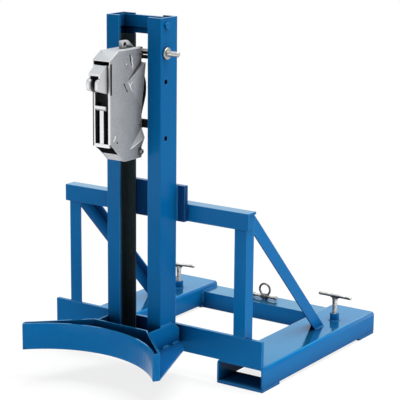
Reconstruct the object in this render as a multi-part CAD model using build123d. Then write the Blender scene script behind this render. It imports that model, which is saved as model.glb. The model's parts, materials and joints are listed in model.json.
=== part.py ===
"""Forklift drum attachment: fork pockets, welded frame, mast, drum cradle and a gripping head.

Millimetres. X is to the right, -Y is the drum's side, +Z is up and Z = 0 is the ground.
Sizes below are measured from the front face of the crossbar; the finished model is then moved
along Y so that its origin is the middle of its footprint.
"""
import math
import os

from build123d import *

# Fork pockets
overall_width = 760.0
pocket_width = 156.0
pocket_length = 676.0
pocket_height = 64.0
pocket_sheet = 6.0
pocket_bend = 10.0
strap_thickness = 8.0
strap_length = 96.0

# Crossbars
crossbar_length = 750.0
crossbar_height = 80.0
crossbar_thickness = 12.0
rear_bar_depth = 86.0
rear_bar_height = 56.0
rear_bar_wall = 5.0
rear_bar_inset = 2.0

# Uprights, beam and braces, all of angle iron
angle_leg = 40.0
angle_wall = 5.0
upright_inset = 62.0
beam_front_leg = 50.0
beam_top_leg = 42.0
beam_wall = 8.0
beam_length = 656.0
beam_bottom = 471.0
cap_thickness = 4.0
brace_rise = 39.0
brace_before_clamp = 63.0
back_plate_width = 244.0
back_plate_height = 106.0

# Mast
mast_top = 1060.0
mast_slot = 100.0
mast_gap = 25.0
post_width = 45.0
post_depth = 80.0
post_web = 6.0
post_flange = 7.0
post_corner = 3.0
liner_thickness = 3.0
liner_drop = 60.0
liner_lip = 2.0
header_height = 32.0
header_drop = 6.0
header_wall = 6.0
hole_drops = [99.0, 179.0, 339.0]
hole_inset = 25.0

# Height pin
pin_diameter = 16.0
pin_collar_diameter = 34.0
pin_collar_thickness = 7.0
pin_grip_length = 44.0
pin_tail = 8.0

# Cradle
cradle_radius = 314.0
cradle_reach = 227.0
cradle_half_chord = 232.0
cradle_bottom = 101.0
cradle_height = 78.0
cradle_sheet = 6.0
cradle_back_reach = 166.0
end_strip_out = 11.0
end_strip_back = 18.5
floor_rear_width = 254.0
gusset_height = 64.0
gusset_thickness = 6.0

# Gripping head, heights counted from the axis of the height pin
head_half_width = 30.5
head_sheet = 4.0
head_depth = 143.0
head_gap = 2.0
head_crest = 14.0
head_drop = 297.0
chamfer_height = 57.0
chamfer_depth = 64.0
top_slope_depth = 37.0
top_slope_height = 22.0
front_flange = 8.0
flange_bend = 3.0
window_drop = 9.0
sill_height = 10.0
sill_depth = 12.0
bottom_sheet_start = 22.0
flare_width = 15.0
flare_depth = 68.0
flare_peak_drop = 26.0
flare_crease_drop = 75.0
flare_fade_drop = 156.0
ridge_width = 11.0
ridge_depth = 56.0
ridge_crease_rise = 30.0
ridge_peak_rise = 58.0
ridge_fade_rise = 86.0
lug_thickness = 10.0
lug_height = 22.0
lug_length = 57.0
lug_slope = 28.0
lug_rear_gap = 1.0
lug_eye_diameter = 12.0
lug_eye_inset = 14.0

# Slots in the cheeks: place behind the head's front, drop below the pin, length and lean
slot_width = 5.0
cheek_slots = [(92.0, 14.0, 31.0, 13.0), (69.0, 90.0, 33.0, 33.0)]
vent_diameter = 7.0
vent_back = 30.5
vent_rise = 58.5

# Slide blocks that carry the head in the mast
block_above_pin = 16.0
block_below_pin = 18.0
block_neck_depth = 15.0
lower_block_drop = 214.0
lower_block_height = 22.0
rivet_diameter = 8.0

# Beak, measured from the axis of its pin
beak_pivot_back = 76.0
beak_pivot_drop = 30.0
beak_swing = 15.0
beak_pin_diameter = 12.0
beak_pin_proud = 2.0
beak_boss_diameter = 28.0
beak_half_width = 20.0
beak_plate = 6.0
hub_radius = 18.0
crest_reach = 81.0
crest_rise = 8.0
roof_reach = 107.0
roof_drop = 12.0
roof_thickness = 6.0
nose_reach = 119.0
nose_drop = 26.0
nose_foot_drop = 53.0
nose_width = 13.0
chin_reach = 112.0
chin_drop = 59.0
heel_reach = 77.0
heel_drop = 69.5
lever_reach = 39.0
lever_radius = 11.0
slot_play = 0.35

# Lower jaw
jaw_drop = 134.0
jaw_block_height = 13.0
jaw_block_half_width = 18.0
jaw_block_depth = 30.0
jaw_block_chamfer = 5.0
jaw_overhang = 6.0
jaw_lip_depth = 10.0
jaw_lip_height = 4.0
jaw_stem_width = 13.0
jaw_stem_depth = 20.0
jaw_plate = 10.0
jaw_bridge_height = 20.0
jaw_riser_width = 14.0
jaw_peg_diameter = 10.0
guide_depth = 18.0
guide_length = 112.0

# Clamp screws; both stand to the right of the middle of their pockets, and one handle is turned
clamp_right_from_rear = 154.0
clamp_left_from_rear = 144.0
clamp_offset = 18.0
handle_left_angle = 10.0
boss_size = 29.0
boss_height = 25.0
boss_angle = 30.0
screw_diameter = 16.0
screw_bar_height = 81.0
screw_bar_length = 115.0
screw_bar_diameter = 11.0
screw_head_fillet = 10.0
screw_head_thickness = 13.0
screw_nose_diameter = 10.0
screw_nose_length = 6.0
pad_diameter = 36.0
pad_thickness = 9.0
pad_retreat = 2.0

# Chain shackle on the rear crossbar
shackle_offset = -5.0
shackle_wire = 7.0
shackle_wire_flats = 12
shackle_ring_diameter = 46.0
shackle_eye_diameter = 16.0
shackle_pin_diameter = 10.0
shackle_pin_height = 11.0
shackle_pin_half = 47.0
shackle_knob_diameter = 14.0
shackle_knob_length = 8.0
shackle_knob_chamfer = 1.0
shackle_lug_thickness = 10.0
shackle_lug_width = 18.0

# Fasteners
header_bolt_diameter = 12.0
cross_bolt_diameter = 10.0
bolt_head_ratio = 1.7
bolt_head_height = 7.0
cross_bolt_inset = 8.0
cross_bolt_rise = 18.0
spacer_diameter = 20.0

# Clearances
running_fit = 0.05
pin_fit = 0.08
slide_play = 0.5
seat_play = 0.3
cut_past = 1.0

# Places that follow from the sizes above
pocket_centre = (overall_width - pocket_width) / 2
pocket_top = strap_thickness + pocket_height
pocket_roof = pocket_top - pocket_sheet
crossbar_top = pocket_top + crossbar_height
upright_outer = overall_width / 2 - upright_inset
upright_inner = upright_outer - angle_leg
beam_front = -beam_wall
beam_back = beam_front + beam_top_leg
beam_top = beam_bottom + beam_front_leg
beam_under = beam_top - beam_wall
mast_back = -mast_gap
mast_front = mast_back - post_depth
mast_inner = mast_slot / 2
mast_outer = mast_inner + post_width
mast_foot = cradle_bottom + cradle_sheet
channel_inner = mast_outer - post_web
channel_front = mast_front + post_flange
channel_back = mast_back - post_flange
pin_y = mast_front + hole_inset
hole_heights = [mast_top - drop for drop in hole_drops]
pin_z = hole_heights[0]
liner_top = mast_top - liner_drop
header_top = mast_top - header_drop
header_bottom = header_top - header_height
header_bolt_z = (header_top + header_bottom) / 2
cradle_top = cradle_bottom + cradle_height
arc_centre_y = -(cradle_reach + cradle_radius)
arc_end_y = arc_centre_y + math.sqrt(cradle_radius**2 - cradle_half_chord**2)
arc_end = (cradle_half_chord, arc_end_y)
wing_end = (arc_end[0] + end_strip_out, arc_end[1] + end_strip_back)
wing_root = (mast_outer, -cradle_back_reach)
head_inner = head_half_width - head_sheet
head_rear = mast_front - head_gap
head_front = head_rear - head_depth
head_bottom_z = pin_z - head_drop
head_top_z = pin_z + head_crest
cheek_top_z = head_top_z - head_sheet
flange_foot_z = head_bottom_z + chamfer_height
sill_top_z = flange_foot_z
flare_crease = (head_rear - flare_depth, pin_z - flare_crease_drop)
flare_peak = (head_rear, pin_z - flare_peak_drop)
beak_pivot = (head_front + beak_pivot_back, pin_z - beak_pivot_drop)
lever_drop = lever_reach * math.tan(math.radians(beak_swing / 2))
jaw_peg = (beak_pivot[0] + lever_reach, beak_pivot[1] - lever_drop)
jaw_top_z = pin_z - jaw_drop
clamp_right = (clamp_offset + pocket_centre, pocket_length - clamp_right_from_rear)
clamp_left = (clamp_offset - pocket_centre, pocket_length - clamp_left_from_rear)
brace_foot = clamp_right[1] - brace_before_clamp
brace_top = beam_bottom + brace_rise
rear_bar_y = pocket_length - rear_bar_inset - rear_bar_depth / 2
shackle_z = rear_bar_height + shackle_pin_height
footprint_middle = (pocket_length + arc_end_y) / 2


def block(x0, x1, y0, y1, z0, z1):
    """Box between two corners."""
    centre = Pos((x0 + x1) / 2, (y0 + y1) / 2, (z0 + z1) / 2)
    return centre * Box(abs(x1 - x0), abs(y1 - y0), abs(z1 - z0))


def rod_x(diameter, x0, x1, y, z):
    """Round bar along X."""
    return Pos((x0 + x1) / 2, y, z) * Rot(0, 90, 0) * Cylinder(diameter / 2, abs(x1 - x0))


def rod_z(diameter, x, y, z0, z1):
    """Round bar along Z."""
    return Pos(x, y, (z0 + z1) / 2) * Cylinder(diameter / 2, abs(z1 - z0))


def plate_x(points, x0, x1):
    """Plate with an outline in Y and Z, between two values of X."""
    outline = make_face(Polyline(*points, close=True))
    return extrude(Plane.YZ.offset(x0) * outline, x1 - x0)


def plate_z(outline, z0, z1):
    """Plate with an outline in X and Y, between two heights."""
    return extrude(Pos(0, 0, z0) * outline, z1 - z0)


def slab_x(sketch, place, x0, x1):
    """Sketch in Y and Z, moved to a place in Y and Z, as a plate between two values of X."""
    return extrude(Plane.YZ.offset(x0) * Pos(*place) * sketch, x1 - x0)


def hex_x(size, x0, x1, y, z):
    """Hexagon along X, its size measured across the corners."""
    prism = extrude(RegularPolygon(size / 2, 6), abs(x1 - x0))
    return Pos(min(x0, x1), y, z) * Rot(0, 90, 0) * prism


def mirrored(shape):
    """The same piece on the other side of the middle plane."""
    return mirror(shape, about=Plane.YZ)


def group(*solids):
    """Several solids in one node."""
    return Compound(children=[piece for shape in solids for piece in shape.solids()])


def angle_section(leg_x, leg_y, wall):
    """Section of an angle iron: its corner at the origin, its legs along X and Y."""
    corner = (Align.MIN, Align.MIN)
    return Rectangle(leg_x, wall, align=corner) + Rectangle(wall, leg_y, align=corner)


def fork_pocket(clamp):
    """Folded channel on the right, open side down, with the hole for the clamp screw."""
    outside = Pos(0, pocket_height / 2) * Rectangle(pocket_width, pocket_height)
    outside = fillet(outside.vertices().group_by(Axis.Y)[-1], pocket_bend)
    clear_width = pocket_width - 2 * pocket_sheet
    clear_height = pocket_height - pocket_sheet
    inside = Pos(0, clear_height / 2) * Rectangle(clear_width, clear_height)
    inside = fillet(inside.vertices().group_by(Axis.Y)[-1], pocket_bend - pocket_sheet)
    profile = Plane.XZ * (outside - inside)
    channel = Pos(pocket_centre, 0, strap_thickness) * extrude(profile, -pocket_length)
    return channel - rod_z(screw_diameter + 2 * running_fit, *clamp, 0, pocket_top + cut_past)


def pocket_straps():
    """Flat straps across the open undersides, at both ends of both pockets."""
    x0 = pocket_centre - pocket_width / 2
    x1 = pocket_centre + pocket_width / 2
    front = block(x0, x1, 0, strap_length, 0, strap_thickness)
    rear = block(x0, x1, pocket_length - strap_length, pocket_length, 0, strap_thickness)
    return group(front, rear, mirrored(front), mirrored(rear))


def front_crossbar():
    """Flat bar on edge across the front of both pockets."""
    half = crossbar_length / 2
    return block(-half, half, 0, crossbar_thickness, pocket_top, crossbar_top)


def rear_crossbar():
    """Tube between the inner walls of the pockets."""
    half = pocket_centre - pocket_width / 2
    y0 = rear_bar_y - rear_bar_depth / 2
    y1 = rear_bar_y + rear_bar_depth / 2
    outside = block(-half, half, y0, y1, 0, rear_bar_height)
    wall = rear_bar_wall
    inside = block(-2 * half, 2 * half, y0 + wall, y1 - wall, wall, rear_bar_height - wall)
    return outside - inside


def upright():
    """Angle with one leg in front and one outside, notched over the crossbar."""
    section = Rot(0, 0, 90) * angle_section(angle_leg, angle_leg, angle_wall)
    bar = extrude(Pos(upright_outer, 0, pocket_top) * section, beam_under - pocket_top)
    return bar - block(upright_inner, upright_outer, 0, crossbar_thickness, 0, crossbar_top)


def upper_beam():
    """Angle across the fronts of the uprights, with its other leg over their ends."""
    section = Rot(0, 0, -90) * angle_section(beam_front_leg, beam_top_leg, beam_wall)
    half = beam_length / 2
    return slab_x(section, (beam_front, beam_top), -half, half)


def beam_caps():
    """End plates outside the uprights, between the legs of the beam."""
    x1 = upright_outer + cap_thickness
    cap = block(upright_outer, x1, 0, beam_back, beam_bottom, beam_under)
    return group(cap, mirrored(cap))


def brace():
    """Slanting angle from an upright to the pocket, with one leg outside and one on top."""
    rise = brace_top - pocket_top
    run = brace_foot - angle_leg
    slope = math.atan2(rise, run)
    along = (0, math.cos(slope), -math.sin(slope))
    across = (0, -math.sin(slope), -math.cos(slope))
    start = Plane((upright_outer, angle_leg, brace_top), x_dir=across, z_dir=along)
    bar = extrude(start * angle_section(angle_leg, angle_leg, angle_wall), rise + run, both=True)
    return bar & block(upright_inner, upright_outer, angle_leg, brace_foot, pocket_top, brace_top)


def back_plate():
    """Plate that ties the backs of the posts to the beam."""
    half = back_plate_width / 2
    return block(-half, half, mast_back, beam_front, beam_bottom, beam_bottom + back_plate_height)


def mast_post():
    """Channel with its open side towards the middle, drilled for the height pin."""
    x0 = mast_inner
    outside = block(x0, mast_outer, mast_front, mast_back, mast_foot, mast_top)
    corners = outside.edges().filter_by(Axis.Z).group_by(Axis.X)[-1]
    outside = fillet(corners, post_corner)
    post = outside - block(0, channel_inner, channel_front, channel_back, 0, 2 * mast_top)
    for height in hole_heights:
        post -= rod_x(pin_diameter + 2 * pin_fit, x0, 2 * mast_outer, pin_y, height)
    bolt_hole = header_bolt_diameter + 2 * running_fit
    return post - rod_x(bolt_hole, x0, 2 * mast_outer, pin_y, header_bolt_z)


def guide_liner():
    """Plastic channel that lines a post, drilled wider than the pin."""
    x0 = mast_inner + liner_lip
    outside = block(x0, channel_inner, channel_front, channel_back, mast_foot, liner_top)
    wall = liner_thickness
    hollow = block(0, channel_inner - wall, channel_front + wall, channel_back - wall, 0, mast_top)
    liner = outside - hollow
    for height in hole_heights:
        liner -= rod_x(pin_diameter + liner_thickness, x0, mast_outer, pin_y, height)
    return liner


def mast_header():
    """Tray that closes the mast: ends inside the posts, faces flush with them."""
    ends = block(-channel_inner, channel_inner, channel_front, channel_back, header_bottom, header_top)
    middle = block(-mast_inner, mast_inner, mast_front, mast_back, header_bottom, header_top)
    wall = header_wall
    hollow = block(
        wall - channel_inner,
        channel_inner - wall,
        channel_front + wall,
        channel_back - wall,
        0,
        header_top - wall,
    )
    bolt_hole = header_bolt_diameter + 2 * running_fit
    holes = rod_x(bolt_hole, -mast_outer, mast_outer, pin_y, header_bolt_z)
    return ends + middle - hollow - holes


def header_bolts():
    """Hexagon bolts through the posts into the header, with their nuts."""
    size = header_bolt_diameter
    head_size = size * bolt_head_ratio
    nut_face = channel_inner - header_wall
    shank = rod_x(size, nut_face - size, mast_outer, pin_y, header_bolt_z)
    head = hex_x(head_size, mast_outer, mast_outer + bolt_head_height, pin_y, header_bolt_z)
    nut = hex_x(head_size, nut_face - bolt_head_height, nut_face, pin_y, header_bolt_z)
    nut -= rod_x(size + 2 * running_fit, 0, mast_outer, pin_y, header_bolt_z)
    bolt = shank + head
    return group(bolt, nut, mirrored(bolt), mirrored(nut))


def height_pin():
    """Round pin with a collar against the right post and a grip stub."""
    x1 = mast_outer + pin_collar_thickness
    pin = rod_x(pin_diameter, -mast_outer - pin_tail, x1, pin_y, pin_z)
    tail = pin.faces().sort_by(Axis.X)[0].edges()
    pin = chamfer(tail, pin_diameter / 8)
    collar = rod_x(pin_collar_diameter, mast_outer + seat_play, x1, pin_y, pin_z)
    collar = chamfer(collar.edges().filter_by(GeomType.CIRCLE), pin_collar_thickness / 6)
    grip = rod_x(pin_diameter, mast_outer, mast_outer + pin_grip_length, pin_y, pin_z)
    grip = chamfer(grip.faces().sort_by(Axis.X)[-1].edges(), pin_diameter / 6)
    return pin + collar + grip


def cradle_outline():
    """Crescent seen from above: arc in front, end strips, wings and a flat at the back."""
    left_end = (-arc_end[0], arc_end[1])
    front = ThreePointArc(left_end, (0, -cradle_reach), arc_end)
    back = Polyline(
        arc_end,
        wing_end,
        wing_root,
        (-wing_root[0], wing_root[1]),
        (-wing_end[0], wing_end[1]),
        left_end,
    )
    return make_face(front + back)


def cradle_walls():
    """The crescent's wall cut into its plates: arc, end strips and folded back."""
    outline = cradle_outline()
    wall = outline - offset(outline, -cradle_sheet, kind=Kind.INTERSECTION)
    centre = Pos(0, arc_centre_y)
    ring = centre * Circle(cradle_radius + cradle_sheet)
    arc = wall & ring
    rest = wall - ring
    along = Vector(wing_end[0] - arc_end[0], wing_end[1] - arc_end[1])
    angle = math.degrees(math.atan2(along.Y, along.X))
    strip_zone = Rectangle(4 * along.length, 2 * cradle_sheet)
    strip_zone = Pos(*arc_end) * Rot(0, 0, angle) * strip_zone
    strips = rest & (strip_zone + mirror(strip_zone, about=Plane.YZ))
    return arc, strips, rest - strips


def cradle_arc():
    """Curved plate that the drum leans against."""
    return plate_z(cradle_walls()[0], cradle_bottom, cradle_top)


def cradle_ends():
    """Narrow strips that close the ends of the crescent."""
    return group(plate_z(cradle_walls()[1], cradle_bottom, cradle_top))


def cradle_back():
    """Folded sheet behind the arc, standing on the floor plate."""
    return plate_z(cradle_walls()[2], mast_foot, cradle_top)


def cradle_floor():
    """Horizontal plate under the crescent and the mast, welded to the crossbar."""
    rear = floor_rear_width / 2
    tail = Polyline(
        wing_root,
        wing_end,
        (rear, 0),
        (-rear, 0),
        (-wing_end[0], wing_end[1]),
        (-wing_root[0], wing_root[1]),
        close=True,
    )
    outline = cradle_outline() + make_face(tail)
    arc, strips, _ = cradle_walls()
    return plate_z(outline - arc - strips, cradle_bottom, mast_foot)


def mast_gusset():
    """Plate outside a post, from the folded back of the cradle to the crossbar."""
    run = (wing_root[1] - wing_end[1]) / (wing_end[0] - wing_root[0])
    x1 = mast_outer + gusset_thickness
    outline = Polyline(
        wing_root,
        (x1, wing_root[1] - run * gusset_thickness),
        (x1, 0),
        (mast_outer, 0),
        close=True,
    )
    return plate_z(make_face(outline), mast_foot, mast_foot + gusset_height)


def head_side_outline(lift):
    """Side view of the head, from the front flange round to the top, as points in Y and Z."""
    return [
        (head_front, cheek_top_z - top_slope_height + lift),
        (head_front, flange_foot_z),
        (head_front + chamfer_depth, head_bottom_z),
        (head_rear, head_bottom_z),
        (head_rear, cheek_top_z + lift),
        (head_front + top_slope_depth, cheek_top_z + lift),
    ]


def wedge(crease, peak, fade, height, x0):
    """Three-cornered swelling of a sheet: flat along crease to fade, highest at peak."""
    prism = plate_x([crease, peak, fade], x0, x0 + height)
    base = Vector(x0, *crease)
    along = Vector(x0, *fade) - base
    up = Vector(x0 + height, *peak) - base
    normal = along.cross(up)
    if normal.X < 0:
        normal = normal * -1
    return split(prism, bisect_by=Plane(base, x_dir=along, z_dir=normal), keep=Keep.BOTTOM)


def cheek_swellings(x0):
    """Pressed flare near the pin and pressed ridge near the foot of a cheek."""
    flare = wedge(flare_crease, flare_peak, (head_rear, pin_z - flare_fade_drop), flare_width, x0)
    crease_z = head_bottom_z + ridge_crease_rise
    crease = (head_rear - ridge_depth, crease_z)
    ridge_peak = (head_rear, head_bottom_z + ridge_peak_rise)
    upper = wedge(crease, ridge_peak, (head_rear, head_bottom_z + ridge_fade_rise), ridge_width, x0)
    lower = wedge(crease, ridge_peak, (head_rear, crease_z), ridge_width, x0)
    return flare + upper + lower


def flare_wall():
    """Sheet that closes the step on the upper side of the flare."""
    drop = head_sheet / math.cos(math.atan2(flare_peak[1] - flare_crease[1], flare_depth))
    foot = [(flare_peak[0], flare_peak[1] - drop), (flare_crease[0], flare_crease[1] - drop)]
    return plate_x([flare_crease, flare_peak, *foot], head_inner, head_half_width + flare_width)


def cheek_cutouts():
    """Slots and vent through a cheek."""
    cuts = rod_x(vent_diameter, 0, mast_outer, head_front + vent_back, head_bottom_z + vent_rise)
    for back, drop, length, lean in cheek_slots:
        slot = Rot(0, 0, 90 + lean) * SlotOverall(length, slot_width)
        cuts += slab_x(slot, (head_front + back, pin_z - drop), 0, mast_outer)
    return cuts


def cheek():
    """Pressed side plate of the head with its folded front flange."""
    plate = plate_x(head_side_outline(0), head_inner, head_half_width)
    flange_top = cheek_top_z - top_slope_height - window_drop
    x0 = head_half_width - front_flange
    plate += block(x0, head_half_width, head_front, head_front + head_sheet, flange_foot_z, flange_top)
    bend = plate.edges().filter_by(Axis.Z).group_by(Axis.Y)[0].sort_by(Axis.X)[-1]
    plate = fillet(bend, flange_bend)
    plate += cheek_swellings(head_half_width)
    plate -= cheek_swellings(head_inner) - flare_wall()
    x1 = mast_outer
    plate -= rod_x(beak_pin_diameter + 2 * running_fit, 0, x1, *beak_pivot)
    plate -= rod_x(cross_bolt_diameter + 2 * running_fit, 0, x1, *cross_bolt_place())
    for rivet_z in rivet_heights():
        plate -= rod_x(rivet_diameter + 2 * running_fit, 0, x1, rivet_y(), rivet_z)
    return plate - cheek_cutouts()


def cross_bolt_place():
    """Axis of the bolt across the foot of the head."""
    return head_rear - cross_bolt_inset, head_bottom_z + cross_bolt_rise


def rivet_y():
    """Rivets pass through the middle of the slide blocks' necks."""
    return head_rear - block_neck_depth / 2


def rivet_heights():
    """One rivet through each slide block."""
    upper = (cheek_top_z + pin_z - block_below_pin) / 2
    lower = pin_z - lower_block_drop + lower_block_height / 2
    return [upper, lower]


def head_cap():
    """Bent sheet over the top edges of both cheeks."""
    under = head_side_outline(0)
    over = head_side_outline(head_sheet)
    outline = [under[0], over[0], over[5], over[4], under[4], under[5]]
    return plate_x(outline, -head_half_width, head_half_width)


def head_foot():
    """Bent sheet that closes the underside between the cheeks."""
    run = bottom_sheet_start / chamfer_depth
    start = (head_front + bottom_sheet_start, flange_foot_z - chamfer_height * run)
    bend = (head_front + chamfer_depth, head_bottom_z)
    fold = math.atan2(chamfer_height, chamfer_depth)
    shift = head_sheet * math.tan(fold / 2)
    outline = [
        start,
        bend,
        (head_rear, head_bottom_z),
        (head_rear, head_bottom_z + head_sheet),
        (bend[0] + shift, head_bottom_z + head_sheet),
        (start[0] + head_sheet * math.sin(fold), start[1] + head_sheet * math.cos(fold)),
    ]
    return plate_x(outline, -head_inner, head_inner)


def head_sill():
    """Bar across the foot of the front window; the lower jaw rests on it."""
    y1 = head_front + sill_depth
    return block(-head_inner, head_inner, head_front, y1, sill_top_z - sill_height, sill_top_z)


def head_lug():
    """Eye plate on top of the head, for lifting it along the mast."""
    y1 = head_rear - lug_rear_gap
    y0 = y1 - lug_length + lug_rear_gap
    crest_z = head_top_z + lug_height
    outline = [(y0, head_top_z), (y0, crest_z), (y1 - lug_slope, crest_z), (y1, head_top_z)]
    half = lug_thickness / 2
    eye_z = head_top_z + lug_height / 2
    return plate_x(outline, -half, half) - rod_x(lug_eye_diameter, -half, half, y0 + lug_eye_inset, eye_z)


def slide_block(z0, neck_top, z1):
    """Cross block that runs in both lined posts, with a neck between the cheeks."""
    half = channel_inner - liner_thickness - slide_play
    y0 = channel_front + liner_thickness + slide_play
    y1 = channel_back - liner_thickness - slide_play
    body = block(-half, half, y0, y1, z0, z1)
    neck = block(-head_inner, head_inner, head_rear - block_neck_depth, y0, z0, neck_top)
    return body + neck


def slide_block_upper():
    """Upper block, notched from below so that it hangs on the height pin."""
    z0 = pin_z - block_below_pin
    piece = slide_block(z0, pin_z + head_crest - head_sheet, pin_z + block_above_pin)
    reach = pin_diameter / 2 + pin_fit
    notch = block(-mast_outer, mast_outer, pin_y - reach, pin_y + reach, 0, pin_z)
    piece -= notch + rod_x(2 * reach, -mast_outer, mast_outer, pin_y, pin_z)
    hole = rivet_diameter + 2 * running_fit
    return piece - rod_x(hole, -mast_inner, mast_inner, rivet_y(), rivet_heights()[0])


def slide_block_lower():
    """Lower block, a plain guide."""
    z0 = pin_z - lower_block_drop
    z1 = z0 + lower_block_height
    hole = rivet_diameter + 2 * running_fit
    bore = rod_x(hole, -mast_inner, mast_inner, rivet_y(), rivet_heights()[1])
    return slide_block(z0, z1, z1) - bore


def block_rivets():
    """Flush rivets through the cheeks and the slide blocks."""
    half = head_half_width
    return group(*[rod_x(rivet_diameter, -half, half, rivet_y(), z) for z in rivet_heights()])


def cross_bolt():
    """Bolt across the foot of the head, with its nut and the spacer between the cheeks."""
    bolt_y, bolt_z = cross_bolt_place()
    half = head_half_width
    head_size = cross_bolt_diameter * bolt_head_ratio
    bolt = rod_x(cross_bolt_diameter, -half, half + cross_bolt_diameter, bolt_y, bolt_z)
    bolt += hex_x(head_size, -half - bolt_head_height, -half, bolt_y, bolt_z)
    bore = rod_x(cross_bolt_diameter + 2 * running_fit, -half, 2 * half, bolt_y, bolt_z)
    nut = hex_x(head_size, half, half + bolt_head_height, bolt_y, bolt_z) - bore
    spacer = rod_x(spacer_diameter, -head_inner, head_inner, bolt_y, bolt_z) - bore
    return group(bolt, nut, spacer)


def beak_pin():
    """Pin that the beak swings on, held in both cheeks."""
    half = head_half_width + beak_pin_proud
    pin = rod_x(beak_pin_diameter, -half, half, *beak_pivot)
    return chamfer(pin.edges().filter_by(GeomType.CIRCLE), beak_pin_proud / 2)


def beak_outline():
    """Side view of the beak in front of its pin, with the pin's axis at the origin."""
    nose = (-nose_reach, -nose_drop)
    outline = Polyline(
        (0, hub_radius),
        (-crest_reach, crest_rise),
        (-roof_reach, -roof_drop),
        (-roof_reach, -nose_drop),
        nose,
        (-nose_reach, -nose_foot_drop),
        (-chin_reach, -chin_drop),
        (-heel_reach, -heel_drop),
        (0, -hub_radius),
        close=True,
    )
    face = make_face(outline)
    return fillet(face.vertices().sort_by_distance(nose)[0], nose_reach - roof_reach)


def beak_lever():
    """Lever behind the beak's pin, slotted for the jaw's peg."""
    peg_near = lever_reach
    peg_far = math.hypot(lever_reach, lever_drop)
    arm = Pos(peg_far / 2, 0) * SlotCenterToCenter(peg_far, 2 * lever_radius)
    slot = SlotCenterToCenter(peg_far - peg_near + 2 * slot_play, jaw_peg_diameter + 2 * slot_play)
    arm -= Pos((peg_near + peg_far) / 2, 0) * slot
    return Rot(0, 0, -beak_swing / 2) * arm


def beak():
    """Hood of two side plates and a roof, with turned-in noses, a boss and slotted levers."""
    outline = beak_outline()
    x1 = beak_half_width
    side = slab_x(outline + Circle(hub_radius), beak_pivot, x1 - beak_plate, x1)
    side += slab_x(beak_lever(), beak_pivot, x1 - beak_plate, x1)
    front = Pos(-nose_reach, -nose_foot_drop) * Rectangle(2 * (nose_reach - roof_reach), 2 * nose_foot_drop)
    nose = slab_x(outline & front, beak_pivot, x1 - nose_width, x1)
    brow = nose.edges().filter_by(GeomType.CIRCLE).sort_by(Axis.X)[0]
    side += fillet(brow, nose_width / 2)
    y, z = beak_pivot
    roof = [
        (y - crest_reach, z + crest_rise),
        (y - roof_reach, z - roof_drop),
        (y - roof_reach, z - roof_drop - roof_thickness),
        (y - crest_reach, z + crest_rise - roof_thickness),
    ]
    half = head_inner - slide_play
    boss = rod_x(beak_boss_diameter, -half, half, *beak_pivot)
    bore = rod_x(beak_pin_diameter + 2 * running_fit, -half, half, *beak_pivot)
    return side + mirrored(side) + plate_x(roof, -x1, x1) + boss - bore


def lower_jaw():
    """Sliding jaw: block and stem in front, bridge below, riser to the peg behind."""
    peg_y, peg_z = jaw_peg
    z0 = sill_top_z + seat_play
    y0 = head_front - jaw_overhang
    y1 = y0 + jaw_block_depth
    under = jaw_top_z - jaw_block_height
    ledge = jaw_top_z - jaw_lip_height
    lip = [
        (y0, jaw_top_z),
        (y0, under + jaw_block_chamfer),
        (y0 + jaw_block_chamfer, under),
        (y1, under),
        (y1, ledge),
        (y0 + jaw_lip_depth, ledge),
    ]
    half = jaw_stem_width / 2
    jaw = plate_x(lip, -jaw_block_half_width, jaw_block_half_width)
    jaw += block(-half, half, head_front, head_front + jaw_stem_depth, z0, ledge)
    half = jaw_plate / 2
    riser_y0 = peg_y - jaw_riser_width / 2
    riser_y1 = peg_y + jaw_riser_width / 2
    jaw += block(-half, half, head_front + head_sheet, riser_y1, z0, z0 + jaw_bridge_height)
    jaw += block(-half, half, riser_y0, riser_y1, z0, peg_z)
    jaw += rod_x(jaw_riser_width, -half, half, peg_y, peg_z)
    return jaw - rod_x(jaw_peg_diameter + 2 * running_fit, -2 * half, 2 * half, peg_y, peg_z)


def jaw_peg_pin():
    """Cross peg in the jaw's riser that works in the levers' slots."""
    return rod_x(jaw_peg_diameter, -beak_half_width, beak_half_width, *jaw_peg)


def jaw_guides():
    """Wear strips inside the cheeks, on both sides of the jaw's block."""
    x0 = jaw_block_half_width + slide_play
    y0 = head_front + head_sheet
    z0 = sill_top_z
    strip = block(x0, head_inner, y0, y0 + guide_depth, z0, z0 + guide_length)
    return group(strip, mirrored(strip))


def clamp_boss(x, y):
    """Long hexagon nut, welded on, that the clamp screw works in; sized across its corners."""
    outline = RegularPolygon(boss_size / 2, 6, rotation=boss_angle)
    nut = Pos(x, y, pocket_top) * extrude(outline, boss_height)
    return nut - rod_z(screw_diameter + 2 * running_fit, x, y, 0, mast_top)


def screw_throat(bar_z):
    """Flared neck below the handle, in X and Z, with a quarter round on each side."""
    half = screw_diameter / 2
    wide = half + screw_head_fillet
    under = bar_z - screw_bar_diameter / 2
    neck = under - screw_head_fillet
    short = screw_head_fillet * (1 - math.sqrt(0.5))
    right = ThreePointArc((half, neck), (half + short, under - short), (wide, under))
    left = mirror(right, about=Plane.YZ)
    rim = Polyline((wide, under), (wide, bar_z), (-wide, bar_z), (-wide, under))
    return make_face(right + rim + left + Line((half, neck), (-half, neck)))


def clamp_screw(x, y, turn):
    """Screw with a forged T handle; its nose sits in the pressure pad."""
    pad_top = pocket_roof - pad_retreat
    bar_z = pocket_top + screw_bar_height
    shoulder = pad_top + seat_play
    screw = rod_z(screw_diameter, 0, 0, shoulder, bar_z)
    screw += rod_z(screw_nose_diameter, 0, 0, pad_top - screw_nose_length, shoulder)
    bar = rod_x(screw_bar_diameter, -screw_bar_length / 2, screw_bar_length / 2, 0, bar_z)
    bar = chamfer(bar.edges().filter_by(GeomType.CIRCLE), screw_bar_diameter / 5)
    half = screw_head_thickness / 2
    head = extrude(Plane.XZ.offset(-half) * screw_throat(bar_z), screw_head_thickness)
    return Pos(x, y, 0) * Rot(0, 0, turn) * (screw + bar + head)


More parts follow.
